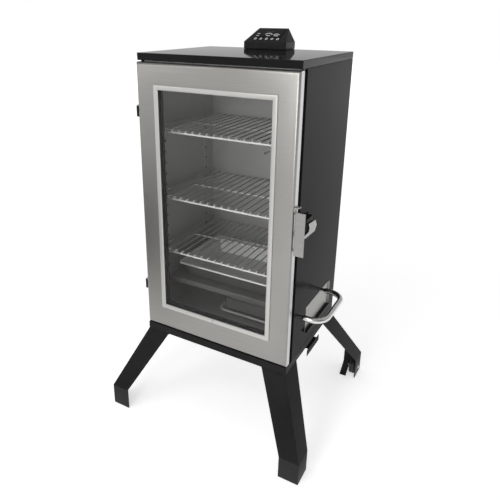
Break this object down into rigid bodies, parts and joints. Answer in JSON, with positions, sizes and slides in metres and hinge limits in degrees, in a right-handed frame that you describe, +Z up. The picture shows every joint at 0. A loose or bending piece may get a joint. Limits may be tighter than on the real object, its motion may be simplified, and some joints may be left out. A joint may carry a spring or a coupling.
{
  "type": "electric cabinet smoker",
  "caption": "Upright electric smoker: insulated cabinet on splayed legs, glazed door with edge latch, chip drawer, drip tray, side handles and sloped digital controller.",
  "frame": {"origin": "on the floor, below the middle of the four feet", "axes": "+Z up, -Y towards the door, +X towards the latch side and the wood-chip drawer"},
  "size_m": [0.5898, 0.522, 1.0485],
  "materials": {
    "brushed_stainless": "horizontally brushed stainless steel",
    "satin_stainless": "satin stainless trim, lighter than the door skin",
    "gloss_black_paint": "high-gloss black enamel paint",
    "satin_black_paint": "satin black powder coat",
    "liner_steel": "dull grey oven steel, lightly smoked",
    "zinc_steel": "bright zinc-plated steel",
    "chrome": "polished chrome plating",
    "chrome_wire": "chrome-plated cooking wire",
    "element_sheath": "heat-darkened element sheath",
    "black_plastic": "fine-textured black plastic",
    "button_plastic": "light grey button caps",
    "display_window": "smoked display window",
    "circuit_board": "green solder mask",
    "wheel_plastic": "moulded black wheel",
    "mineral_wool": "mineral wool blanket",
    "gasket": "soft black door seal",
    "tinted_glass": "lightly smoked tempered glass"
  },
  "bodies": {
    "cabinet": {"base_pan": "satin_black_paint", "top_cap": "gloss_black_paint", "left_side_panel": "satin_black_paint", "right_side_panel": "satin_black_paint", "rear_panel": "satin_black_paint", "inner_liner": "liner_steel", "insulation_blanket": "mineral_wool", "leg_front_left": "satin_black_paint", "leg_front_right": "satin_black_paint", "leg_rear_left": "satin_black_paint", "leg_rear_right": "satin_black_paint", "axle_left": "zinc_steel", "axle_right": "zinc_steel", "handle_left": "chrome", "handle_right": "chrome", "grate_top": "chrome_wire", "grate_middle": "chrome_wire", "grate_bottom": "chrome_wire", "rack_left": "zinc_steel", "rack_right": "zinc_steel", "water_pan": "satin_stainless", "smoke_deflector": "liner_steel", "heating_element": "element_sheath", "element_mount": "zinc_steel", "chip_tray_guide": "liner_steel", "temperature_sensor": "zinc_steel", "drip_tray_rails": "satin_black_paint", "controller_base": "black_plastic", "controller_housing": "black_plastic", "control_board": "circuit_board", "display_lens": "display_window", "damper_rivet": "zinc_steel", "power_inlet": "black_plastic", "hinge_bracket_top": "satin_black_paint", "hinge_bracket_bottom": "satin_black_paint", "hinge_pin_top": "zinc_steel", "hinge_pin_bottom": "zinc_steel", "latch_catch": "satin_black_paint"},
    "door": {"door_skin": "brushed_stainless", "window_trim": "satin_stainless", "window_glass": "tinted_glass", "door_inner_panel": "liner_steel", "door_insulation": "mineral_wool", "door_gasket": "gasket", "door_hinge_leaf_top": "satin_black_paint", "door_hinge_leaf_bottom": "satin_black_paint", "latch_bracket": "zinc_steel"},
    "latch_lever": {"latch_lever": "brushed_stainless"},
    "latch_claw": {"latch_claw": "zinc_steel"},
    "chip_drawer": {"chip_tray": "liner_steel", "chip_tray_face": "brushed_stainless"},
    "drip_tray": {"drip_tray": "satin_black_paint"},
    "damper": {"damper_flap": "zinc_steel"},
    "wheel_left": {"wheel_left": "wheel_plastic"},
    "wheel_right": {"wheel_right": "wheel_plastic"},
    "button_1": {"button_1": "button_plastic"},
    "button_2": {"button_2": "button_plastic"},
    "button_3": {"button_3": "button_plastic"},
    "button_4": {"button_4": "button_plastic"},
    "button_5": {"button_5": "button_plastic"}
  },
  "joints": [
    {"name": "door_hinge", "type": "hinge", "parent": "cabinet", "child": "door", "pos_m": [-0.2185, -0.17, 0.6182], "axis": [0, 0, -1], "range_deg": [0, 120]},
    {"name": "latch_pull", "type": "hinge", "parent": "door", "child": "latch_lever", "pos_m": [0.2205, -0.176, 0.62125], "axis": [0, 0, -1], "range_deg": [0, 45]},
    {"name": "claw_swing", "type": "hinge", "parent": "latch_lever", "child": "latch_claw", "pos_m": [0.2315, -0.1765, 0.609], "axis": [0, 0, 1], "range_deg": [0, 38.25]},
    {"name": "chip_drawer_slide", "type": "slide", "parent": "cabinet", "child": "chip_drawer", "axis": [1, 0, 0], "range_m": [0, 0.18]},
    {"name": "drip_tray_slide", "type": "slide", "parent": "cabinet", "child": "drip_tray", "axis": [1, 0, 0], "range_m": [0, 0.2]},
    {"name": "damper_swing", "type": "hinge", "parent": "cabinet", "child": "damper", "pos_m": [0, 0.1605, 0.93], "axis": [0, 1, 0], "range_deg": [0, 90]},
    {"name": "wheel_left_spin", "type": "hinge", "parent": "cabinet", "child": "wheel_left", "pos_m": [-0.2775, 0.23, 0.0265], "axis": [1, 0, 0], "continuous": true},
    {"name": "wheel_right_spin", "type": "hinge", "parent": "cabinet", "child": "wheel_right", "pos_m": [0.2775, 0.23, 0.0265], "axis": [1, 0, 0], "continuous": true},
    {"name": "button_1_press", "type": "slide", "parent": "cabinet", "child": "button_1", "axis": [0, 0.5589, -0.8292], "range_m": [0, 0.001], "stiffness_N_per_m": 300, "springref_m": -0.0005},
    {"name": "button_2_press", "type": "slide", "parent": "cabinet", "child": "button_2", "axis": [0, 0.5589, -0.8292], "range_m": [0, 0.001], "stiffness_N_per_m": 300, "springref_m": -0.0005},
    {"name": "button_3_press", "type": "slide", "parent": "cabinet", "child": "button_3", "axis": [0, 0.5589, -0.8292], "range_m": [0, 0.001], "stiffness_N_per_m": 300, "springref_m": -0.0005},
    {"name": "button_4_press", "type": "slide", "parent": "cabinet", "child": "button_4", "axis": [0, 0.5589, -0.8292], "range_m": [0, 0.001], "stiffness_N_per_m": 300, "springref_m": -0.0005},
    {"name": "button_5_press", "type": "slide", "parent": "cabinet", "child": "button_5", "axis": [0, 0.5589, -0.8292], "range_m": [0, 0.001], "stiffness_N_per_m": 300, "springref_m": -0.0005}
  ],
  "couplings": [
    {"joint": "claw_swing", "follows": "latch_pull", "ratio": 0.85}
  ]
}
